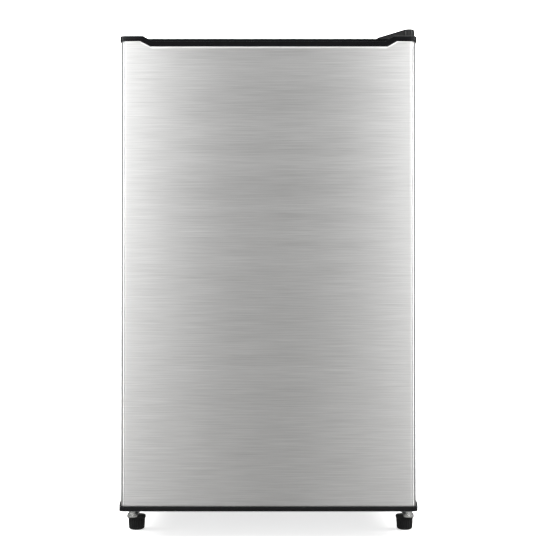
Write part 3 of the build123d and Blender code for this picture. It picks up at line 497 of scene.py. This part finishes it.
# ---------------------------------------------------------------- door skin
def pull_drop(x):
    """How far the door's top edge is lowered by the finger pull at x."""
    left_out, left_in, right_in, right_out = PULL_X
    if x <= left_out or x >= right_out:
        return 0.0
    if x < left_in:
        return PULL_DEPTH * (x - left_out) / (left_in - left_out)
    if x > right_in:
        return PULL_DEPTH * (right_out - x) / (right_out - right_in)
    return PULL_DEPTH


def door_plan(low, high):
    """Points and outward normals along the folded skin, from the right return round to the left one."""
    radius = DOOR_CORNER_RADIUS
    half, front, back = high.x, low.y, high.y
    fold_middle = 0.4 * MM
    plan = [
        (Vector((half - RETURN_FLANGE, back)), Vector((0, 1))),
        (Vector((half - RETURN_FOLD, back)), Vector((0, 1))),
        (Vector((half - fold_middle, back - fold_middle)), Vector((0.7, 0.7))),
        (Vector((half, back - RETURN_FOLD)), Vector((1, 0))),
        (Vector((half, front + radius + SUPPORT)), Vector((1, 0))),
    ]
    for i in range(CORNER_STEPS + 1):
        angle = math.radians(90.0 * i / CORNER_STEPS)
        normal = Vector((math.cos(angle), -math.sin(angle)))
        plan.append((Vector((half - radius, front + radius)) + normal * radius, normal))
    plan.append((Vector((half - radius - SUPPORT, front)), Vector((0, -1))))
    right_side = list(plan)
    stops = [bend + offset for bend in PULL_X for offset in (-PULL_CORNER, PULL_CORNER)]
    floor_left, floor_right = PULL_X[1] + PULL_CORNER, PULL_X[2] - PULL_CORNER
    floor_step = (floor_left - floor_right) / PULL_FLOOR_STEPS
    stops += [floor_right + floor_step * i for i in range(1, PULL_FLOOR_STEPS)]
    for x in sorted(stops, reverse=True):
        plan.append((Vector((x, front)), Vector((0, -1))))
    for point, normal in reversed(right_side):
        plan.append((Vector((-point.x, point.y)), Vector((-normal.x, normal.y))))
    return plan


def rolled_edge(edge, radius, side):
    """Insets and heights of a roll from the flat face to its rim; side is 1 at the top and -1 at the foot."""
    return [(radius * (1 - math.cos(t)), edge - side * radius * (1 - math.sin(t))) for t in ROLL_ANGLES]


def skin_column(foot, head, pulled):
    """Insets and heights up one line of the skin, rolled in at its foot and at its top."""
    top = head - pulled
    top_roll = SLOPE_EDGE_ROLL if 0.0 < pulled < PULL_DEPTH else STAINLESS_EDGE_ROLL
    column = rolled_edge(foot, STAINLESS_EDGE_ROLL, -1)[::-1]
    column.append((0.0, foot + STAINLESS_EDGE_ROLL + SUPPORT))
    column += [(0.0, foot + (head - foot) * share) for share in (0.25, 0.5, 0.75)]
    column.append((0.0, top - SLOPE_EDGE_ROLL - SUPPORT))
    return column + rolled_edge(top, top_roll, 1)


def build_door_skin():
    """The folded stainless skin, with rounded upright corners and the finger pull in its top edge."""
    low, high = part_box("door_panel")
    plan = door_plan(low, high)
    front_reach = low.y + DOOR_CORNER_RADIUS
    vertices, faces, along = [], [], []
    travelled = 0.0
    for index, (point, normal) in enumerate(plan):
        if index:
            travelled += (point - plan[index - 1][0]).length
        pulled = pull_drop(point.x) if point.y < front_reach else 0.0
        column = skin_column(low.z, high.z, pulled)
        for inset, z in column:
            vertices.append((point.x - normal.x * inset, point.y - normal.y * inset, z))
            along.append((travelled, z))
    rows = len(column)
    for i in range(len(plan) - 1):
        for k in range(rows - 1):
            a, b = i * rows + k, (i + 1) * rows + k
            faces.append((a, a + 1, b + 1, b))
    skin = mesh_object("door_skin", vertices, faces, "brushed_stainless")
    grain_map = skin.data.uv_layers.new(name="along_grain")
    for loop in skin.data.loops:
        grain_map.data[loop.index].uv = along[loop.vertex_index]
    wall = skin.modifiers.new("wall", "SOLIDIFY")
    wall.thickness = SKIN_THICKNESS
    wall.offset = -1.0
    place_piece(skin, "door", "brushed_stainless", "door_panel")


# ---------------------------------------------------------------- levelling knobs
# from the sole up to the lip's top: share of the lip's radius, height in mm, and 1 where it is ribbed
KNOB_PROFILE = [
    (0.25, 0.0, 0), (0.62, 0.0, 0), (0.66, 0.3, 0), (0.80, 1.2, 0), (0.855, 2.6, 0),
    (0.885, 4.5, 1), (0.90, 8.0, 1), (0.915, 13.0, 1), (0.93, 17.5, 1), (0.935, 18.5, 0),
    (0.985, 19.2, 0), (1.0, 20.2, 0), (1.0, 22.6, 0), (0.985, 23.6, 0), (0.95, 24.0, 0), (0.4, 24.0, 0),
]


def build_foot_knob(side):
    """Tapered knob with rounded ribs that fade out under the lip and above the scuffed sole."""
    node_name = f"{side}_foot_knob"
    low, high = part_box(node_name)
    centre = (low + high) / 2
    lip = (high.x - low.x) / 2
    steps = KNOB_RIBS * POINTS_PER_RIB
    rings = []
    for share, height, ribbed in KNOB_PROFILE:
        ring = []
        for i in range(steps):
            angle = 2 * math.pi * i / steps
            wave = 0.5 + 0.5 * math.cos(KNOB_RIBS * angle)
            radius = lip * share - KNOB_RIB_DEPTH * ribbed * (1 - wave ** 0.6)
            ring.append((centre.x + radius * math.cos(angle), centre.y + radius * math.sin(angle),
                         min(height * MM, high.z)))
        rings.append(ring)
    vertices, faces = ring_surface(rings)
    knob = mesh_object(f"{side}_levelling_knob", vertices, faces, "black_foot_plastic")
    sharp_by_angle(knob, 40)
    place_piece(knob, f"{side}_foot", "black_foot_plastic", node_name)


# ---------------------------------------------------------------- screws, bolts and condenser wires
def geometry_tree(name, inputs):
    """A Geometry Nodes tree with named inputs; each input is a label, a socket type and a default value."""
    tree = bpy.data.node_groups.new(name, "GeometryNodeTree")
    tree.interface.new_socket("Geometry", in_out="INPUT", socket_type="NodeSocketGeometry")
    for label, kind, value in inputs:
        socket = tree.interface.new_socket(label, in_out="INPUT", socket_type=kind)
        if value is not None:
            socket.default_value = value
    tree.interface.new_socket("Geometry", in_out="OUTPUT", socket_type="NodeSocketGeometry")
    return tree, tree.nodes.new("NodeGroupInput"), tree.nodes.new("NodeGroupOutput")


def lifted(tree, geometry, height):
    """Geometry moved up by a height socket."""
    offset = node(tree, "ShaderNodeCombineXYZ")
    tree.links.new(height, offset.inputs["Z"])
    move = node(tree, "GeometryNodeTransform")
    tree.links.new(geometry, move.inputs["Geometry"])
    tree.links.new(offset.outputs[0], move.inputs["Translation"])
    return move.outputs["Geometry"]


def cylinder_node(tree, sides, radius, depth):
    """An upright cylinder about the origin, with sockets for its radius and depth."""
    made = node(tree, "GeometryNodeMeshCylinder")
    made.inputs["Vertices"].default_value = sides
    tree.links.new(radius, made.inputs["Radius"])
    tree.links.new(depth, made.inputs["Depth"])
    return made.outputs["Mesh"]


def finish_tree(tree, geometry, material, out):
    """Instances made real, with the finish that the tree is given."""
    real = node(tree, "GeometryNodeRealizeInstances")
    dressed = node(tree, "GeometryNodeSetMaterial")
    tree.links.new(geometry, real.inputs["Geometry"])
    tree.links.new(real.outputs["Geometry"], dressed.inputs["Geometry"])
    tree.links.new(material, dressed.inputs["Material"])
    tree.links.new(dressed.outputs["Geometry"], out.inputs["Geometry"])


def build_hex_screw_tree():
    """A washer-faced hexagon head with a turned crown and its shank, standing on every point it is given."""
    tree, given, out = geometry_tree("hex_screws", [
        ("Head Radius", "NodeSocketFloat", 5.0 * MM), ("Head Height", "NodeSocketFloat", 3.5 * MM),
        ("Washer Radius", "NodeSocketFloat", 5.0 * MM), ("Washer Height", "NodeSocketFloat", 0.8 * MM),
        ("Shank Radius", "NodeSocketFloat", 2.5 * MM), ("Shank Length", "NodeSocketFloat", 12.0 * MM),
        ("Turn", "NodeSocketVector", None), ("Finish", "NodeSocketMaterial", None)])
    values = given.outputs
    crown_height = math_node(tree, "MULTIPLY", values["Head Height"], 0.12)
    washer = cylinder_node(tree, 32, values["Washer Radius"], values["Washer Height"])
    washer = lifted(tree, washer, math_node(tree, "MULTIPLY", values["Washer Height"], 0.5))
    hexagon_height = math_node(tree, "SUBTRACT", values["Head Height"], crown_height)
    hexagon = cylinder_node(tree, 6, math_node(tree, "MULTIPLY", values["Head Radius"], 0.98), hexagon_height)
    hexagon = lifted(tree, hexagon, math_node(tree, "MULTIPLY", hexagon_height, 0.5))
    crown = node(tree, "GeometryNodeMeshCone")
    crown.inputs["Vertices"].default_value = 24
    tree.links.new(math_node(tree, "MULTIPLY", values["Head Radius"], 0.72), crown.inputs["Radius Top"])
    tree.links.new(math_node(tree, "MULTIPLY", values["Head Radius"], 0.84), crown.inputs["Radius Bottom"])
    tree.links.new(crown_height, crown.inputs["Depth"])
    crown = lifted(tree, crown.outputs["Mesh"], hexagon_height)
    shank = cylinder_node(tree, 16, values["Shank Radius"], values["Shank Length"])
    shank = lifted(tree, shank, math_node(tree, "MULTIPLY", values["Shank Length"], -0.5))
    join = node(tree, "GeometryNodeJoinGeometry")
    for piece in (washer, hexagon, crown, shank):
        tree.links.new(piece, join.inputs["Geometry"])
    spread = node(tree, "GeometryNodeInstanceOnPoints")
    tree.links.new(values["Geometry"], spread.inputs["Points"])
    tree.links.new(join.outputs["Geometry"], spread.inputs["Instance"])
    to_turn = node(tree, "FunctionNodeEulerToRotation")
    tree.links.new(values["Turn"], to_turn.inputs[0])
    tree.links.new(to_turn.outputs[0], spread.inputs["Rotation"])
    finish_tree(tree, spread.outputs["Instances"], values["Finish"], out)
    return tree


def build_wire_rack_tree():
    """Two layers of upright wires, each cut a little short by chance, on either side of the tube."""
    tree, given, out = geometry_tree("wire_rack", [
        ("Count", "NodeSocketInt", CONDENSER_WIRES), ("Start", "NodeSocketVector", None),
        ("Step", "NodeSocketVector", None), ("Layer Gap", "NodeSocketVector", None),
        ("Length", "NodeSocketFloat", 0.4), ("Wire Radius", "NodeSocketFloat", CONDENSER_WIRE_RADIUS),
        ("Finish", "NodeSocketMaterial", None)])
    values = given.outputs
    wire = cylinder_node(tree, 8, values["Wire Radius"], values["Length"])
    line = node(tree, "GeometryNodeMeshLine", mode="OFFSET")
    tree.links.new(values["Count"], line.inputs["Count"])
    tree.links.new(values["Start"], line.inputs["Start Location"])
    tree.links.new(values["Step"], line.inputs["Offset"])
    cut = node(tree, "FunctionNodeRandomValue", data_type="FLOAT")
    float_ends = [socket for socket in cut.inputs if socket.type == "VALUE"]
    float_ends[0].default_value, float_ends[1].default_value = 0.994, 1.0
    cut.inputs["Seed"].default_value = 11
    scale = node(tree, "ShaderNodeCombineXYZ")
    scale.inputs["X"].default_value = scale.inputs["Y"].default_value = 1.0
    tree.links.new([socket for socket in cut.outputs if socket.type == "VALUE"][0], scale.inputs["Z"])
    layer = node(tree, "GeometryNodeInstanceOnPoints")
    tree.links.new(line.outputs["Mesh"], layer.inputs["Points"])
    tree.links.new(wire, layer.inputs["Instance"])
    tree.links.new(scale.outputs[0], layer.inputs["Scale"])
    rear = node(tree, "GeometryNodeTransform")
    tree.links.new(layer.outputs["Instances"], rear.inputs["Geometry"])
    tree.links.new(values["Layer Gap"], rear.inputs["Translation"])
    join = node(tree, "GeometryNodeJoinGeometry")
    tree.links.new(layer.outputs["Instances"], join.inputs["Geometry"])
    tree.links.new(rear.outputs["Geometry"], join.inputs["Geometry"])
    finish_tree(tree, join.outputs["Geometry"], values["Finish"], out)
    return tree


def grown(name, tree, sites, finish, **values):
    """A plain mesh piece made by a Geometry Nodes tree on a set of points."""
    seed = mesh_object(name + "_sites", sites, [], finish)
    grower = seed.modifiers.new("grower", "NODES")
    grower.node_group = tree
    names = {item.name: item.identifier for item in tree.interface.items_tree if item.in_out == "INPUT"}
    for label, value in values.items():
        grower[names[label.replace("_", " ")]] = value
    grower[names["Finish"]] = FINISHES[finish]
    evaluated = seed.evaluated_get(bpy.context.evaluated_depsgraph_get())
    data = bpy.data.meshes.new_from_object(evaluated)
    seed.modifiers.remove(grower)
    bpy.data.objects.remove(seed)
    data.name = name
    data.materials.clear()
    data.materials.append(FINISHES[finish])
    data.polygons.foreach_set("use_smooth", [True] * len(data.polygons))
    piece = bpy.data.objects.new(name, data)
    bpy.context.scene.collection.objects.link(piece)
    sharp_by_angle(piece, 35)
    return piece


def build_bracket_screws(tree):
    """Screws that hold the foot and hinge brackets, heads down under the cabinet."""
    low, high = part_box("bracket_screws")
    head = 3.5 * MM
    heads_down = (math.pi, 0.0, 0.3)
    sites = [(x, (low.y + high.y) / 2, low.z + head) for x in BRACKET_SCREW_X]
    screws = grown("bracket_screws_hex", tree, sites, "zinc_plate", Head_Height=head, Turn=heads_down,
                   Shank_Length=high.z - low.z - head)
    place_piece(screws, "cabinet", "zinc_plate", "bracket_screws")


def build_compressor_bolts(tree):
    """Bolts through the compressor's rubber feet."""
    low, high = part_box("compressor_bolts")
    head = 4.0 * MM
    reach = 5.5 * MM
    corner_radius = reach * 0.95
    flat = reach * math.cos(math.radians(30))
    sites = []
    for x in (low.x + reach, high.x - reach):
        for y in (low.y + flat, high.y - flat):
            sites.append((x, y, high.z - head))
    bolts = grown("compressor_bolts_hex", tree, sites, "zinc_plate", Head_Height=head,
                  Head_Radius=corner_radius, Washer_Radius=corner_radius, Shank_Radius=3.0 * MM,
                  Shank_Length=high.z - low.z - head)
    place_piece(bolts, "cabinet", "zinc_plate", "compressor_bolts")


def build_condenser_wires():
    """The upright wires welded to both sides of the condenser tube."""
    low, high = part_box("condenser_wires")
    radius = CONDENSER_WIRE_RADIUS
    start = (low.x + radius, low.y + radius, (low.z + high.z) / 2)
    step = ((high.x - low.x - 2 * radius) / (CONDENSER_WIRES - 1), 0.0, 0.0)
    layer_gap = (0.0, high.y - low.y - 2 * radius, 0.0)
    wires = grown("condenser_wire_rack", build_wire_rack_tree(), [(0.0, 0.0, 0.0)], "black_enamel",
                  Count=CONDENSER_WIRES, Start=start, Step=step, Layer_Gap=layer_gap, Length=high.z - low.z,
                  Wire_Radius=radius)
    place_piece(wires, "cabinet", "black_enamel", "condenser_wires")


# ---------------------------------------------------------------- floor, light and camera
def mapped(tree, value, smooth=False, **ends):
    """A value mapped between ends; keywords name the Map Range sockets."""
    made = node(tree, "ShaderNodeMapRange", interpolation_type="SMOOTHSTEP" if smooth else "LINEAR")
    for label, end in ends.items():
        made.inputs[label.replace("_", " ")].default_value = end
    tree.links.new(value, made.inputs["Value"])
    return made.outputs["Result"]


def axes_of(tree, position):
    """The X, Y and Z outputs of a position or direction read from Texture Coordinate."""
    split = node(tree, "ShaderNodeSeparateXYZ")
    tree.links.new(node(tree, "ShaderNodeTexCoord").outputs[position], split.inputs[0])
    return split.outputs


def studio_paper():
    """White paper for the eye, with pale shadows, and a grey floor for what metal mirrors."""
    paper = bpy.data.materials.new("studio_paper")
    paper.use_nodes = True
    tree = paper.node_tree
    sheet = tree.nodes["Principled BSDF"]
    sheet.inputs["Base Color"].default_value = (0.93, 0.93, 0.93, 1.0)
    sheet.inputs["Roughness"].default_value = 0.8
    sheet.inputs["Specular IOR Level"].default_value = 0.1
    path = node(tree, "ShaderNodeLightPath")

    place = axes_of(tree, "Object")
    ahead = math_node(tree, "MAXIMUM", math_node(tree, "MULTIPLY", place["Y"], -1.0), 0.3)
    sideways = math_node(tree, "DIVIDE", math_node(tree, "ABSOLUTE", place["X"]), ahead)
    floor_middle, floor_sides = FLOOR_IN_REFLECTIONS
    spread = mapped(tree, sideways, smooth=True, From_Max=0.25, To_Min=floor_middle, To_Max=floor_sides)
    fade = mapped(tree, place["Y"], From_Min=-0.6, From_Max=0.2, To_Min=1.0, To_Max=0.4)
    seen_in_metal = node(tree, "ShaderNodeEmission")
    seen_in_metal.inputs["Color"].default_value = (1.0, 0.99, 0.975, 1.0)
    tree.links.new(math_node(tree, "MULTIPLY", spread, fade), seen_in_metal.inputs["Strength"])

    glow = node(tree, "ShaderNodeEmission")
    lift = math_node(tree, "MULTIPLY", path.outputs["Is Camera Ray"], SHADOW_LIFT)
    tree.links.new(lift, glow.inputs["Strength"])
    seen_by_eye = node(tree, "ShaderNodeAddShader")
    tree.links.new(sheet.outputs[0], seen_by_eye.inputs[0])
    tree.links.new(glow.outputs[0], seen_by_eye.inputs[1])

    chosen = node(tree, "ShaderNodeMixShader")
    tree.links.new(path.outputs["Is Glossy Ray"], chosen.inputs[0])
    tree.links.new(seen_by_eye.outputs[0], chosen.inputs[1])
    tree.links.new(seen_in_metal.outputs[0], chosen.inputs[2])
    tree.links.new(chosen.outputs[0], tree.nodes["Material Output"].inputs["Surface"])
    paper.cycles.emission_sampling = "NONE"
    return paper


def build_stage():
    """Pale floor that curves up behind the fridge."""
    bend_start = SWEEP_BACK - SWEEP_BEND
    line = [(SWEEP_FRONT, 0.0), (bend_start, 0.0)]
    for degrees in range(10, 100, 10):
        angle = math.radians(degrees)
        line.append((bend_start + SWEEP_BEND * math.sin(angle), SWEEP_BEND * (1 - math.cos(angle))))
    line.append((SWEEP_BACK, SWEEP_HEIGHT))
    vertices = [(x, y, z) for y, z in line for x in (-SWEEP_HALF_WIDTH, SWEEP_HALF_WIDTH)]
    faces = [(2 * i, 2 * i + 1, 2 * i + 3, 2 * i + 2) for i in range(len(line) - 1)]
    data = bpy.data.meshes.new("studio_sweep")
    data.from_pydata(vertices, [], faces)
    data.polygons.foreach_set("use_smooth", [True] * len(data.polygons))
    data.materials.append(studio_paper())
    sweep = bpy.data.objects.new("studio_sweep", data)
    bpy.context.scene.collection.objects.link(sweep)


def build_room():
    """Even white room for the eye, and a darker middle with bright bands beside it for what metal mirrors."""
    world = bpy.data.worlds.new("studio_room")
    bpy.context.scene.world = world
    world.use_nodes = True
    tree = world.node_tree
    background = tree.nodes["Background"]
    background.inputs["Color"].default_value = (1.0, 1.0, 1.0, 1.0)
    direction = axes_of(tree, "Generated")

    profile = node(tree, "ShaderNodeValToRGB")
    profile.color_ramp.interpolation = "EASE"
    stops = profile.color_ramp.elements
    while len(stops) < len(ROOM_IN_REFLECTIONS):
        stops.new(0.5)
    for stop, (place, value) in zip(stops, ROOM_IN_REFLECTIONS):
        stop.position = place
    for stop, (place, value) in zip(stops, ROOM_IN_REFLECTIONS):
        stop.color = (value, value, value, 1.0)
    tree.links.new(math_node(tree, "ABSOLUTE", direction["X"]), profile.inputs[0])

    near_floor = mapped(tree, direction["Z"], From_Min=-0.05, From_Max=0.4, To_Min=0.96, To_Max=1.0)
    ahead = math_node(tree, "MULTIPLY", profile.outputs["Color"], near_floor)
    ceiling = mapped(tree, direction["Z"], From_Min=0.5, From_Max=0.75, To_Max=CEILING_IN_REFLECTIONS)
    ahead = math_node(tree, "MULTIPLY", math_node(tree, "MAXIMUM", ahead, ceiling), ROOM_REFLECTION_SCALE)
    behind = math_node(tree, "GREATER_THAN", direction["Y"], 0.0)
    in_front = math_node(tree, "SUBTRACT", 1.0, behind)
    mirrored = math_node(tree, "ADD", math_node(tree, "MULTIPLY", ahead, in_front),
                         math_node(tree, "MULTIPLY", behind, REAR_IN_REFLECTIONS))

    path = node(tree, "ShaderNodeLightPath").outputs
    not_mirrored = math_node(tree, "SUBTRACT", 1.0, path["Is Glossy Ray"])
    strength = math_node(tree, "ADD", math_node(tree, "MULTIPLY", mirrored, path["Is Glossy Ray"]),
                         math_node(tree, "MULTIPLY", not_mirrored, ROOM_LIGHT))
    strength = math_node(tree, "ADD", strength, path["Is Camera Ray"])
    tree.links.new(strength, background.inputs["Strength"])
    world.cycles.sampling_method = "NONE"


def soft_light(name, place, aim, size, power, mirrored=False, diffuse=True):
    """A rectangular lamp turned to its aim; mirrored lamps show in glossy finishes."""
    lamp = bpy.data.lights.new(name, "AREA")
    lamp.shape = "RECTANGLE"
    lamp.size, lamp.size_y = size
    lamp.energy = power
    made = bpy.data.objects.new(name, lamp)
    made.location = place
    made.rotation_euler = (Vector(aim) - Vector(place)).to_track_quat("-Z", "Y").to_euler()
    made.visible_glossy = mirrored
    made.visible_diffuse = diffuse
    bpy.context.scene.collection.objects.link(made)


def build_lights():
    """Two windows in front, an overhead, washes for the backdrop and floor, and two strips for glints."""
    build_room()
    soft_light("left_window", (-2.6, -4.2, 1.9), (0, 0, 0.6), (1.6, 2.6), 40)
    soft_light("right_window", (2.6, -4.2, 1.9), (0, 0, 0.6), (1.6, 2.6), 36)
    soft_light("overhead", (0, -0.2, 3.2), (0, 0, 0.4), (3.0, 2.0), 50, mirrored=True)
    soft_light("back_wash", (0, 1.2, 2.8), (0, 3.2, 1.0), (4.0, 1.5), 130)
    soft_light("left_floor_wash", (-2.6, 0.2, 1.8), (-1.2, 1.2, 0), (1.5, 1.5), 60)
    soft_light("right_floor_wash", (2.6, 0.2, 1.8), (1.2, 1.2, 0), (1.5, 1.5), 60)
    strip_size = (0.12, 2.0)
    soft_light("left_strip", (-4.0, -2.6, 1.1), (0, -0.2, 0.8), strip_size, 60, mirrored=True, diffuse=False)
    soft_light("right_strip", (4.0, -2.6, 1.1), (0, -0.2, 0.8), strip_size, 60, mirrored=True, diffuse=False)


def build_camera():
    """A view of the door from straight ahead, about 2 m away, tilted up by half a degree."""
    lens = bpy.data.cameras.new("camera")
    lens.sensor_width = 36.0
    lens.lens = LENS_LENGTH
    lens.shift_x = LENS_SHIFT
    camera = bpy.data.objects.new("camera", lens)
    camera.location = (CAMERA_X, cad_low.y - CAMERA_DISTANCE, CAMERA_HEIGHT)
    camera.rotation_euler = (math.radians(90.0 + CAMERA_TILT), 0, 0)
    bpy.context.scene.collection.objects.link(camera)
    bpy.context.scene.camera = camera


bpy.context.scene.view_settings.view_transform = "Standard"
dress_cad_nodes()
build_door_skin()
for side in ("left", "right"):
    build_foot_knob(side)
hex_screw_tree = build_hex_screw_tree()
build_bracket_screws(hex_screw_tree)
build_compressor_bolts(hex_screw_tree)
build_condenser_wires()
build_stage()
build_lights()
build_camera()
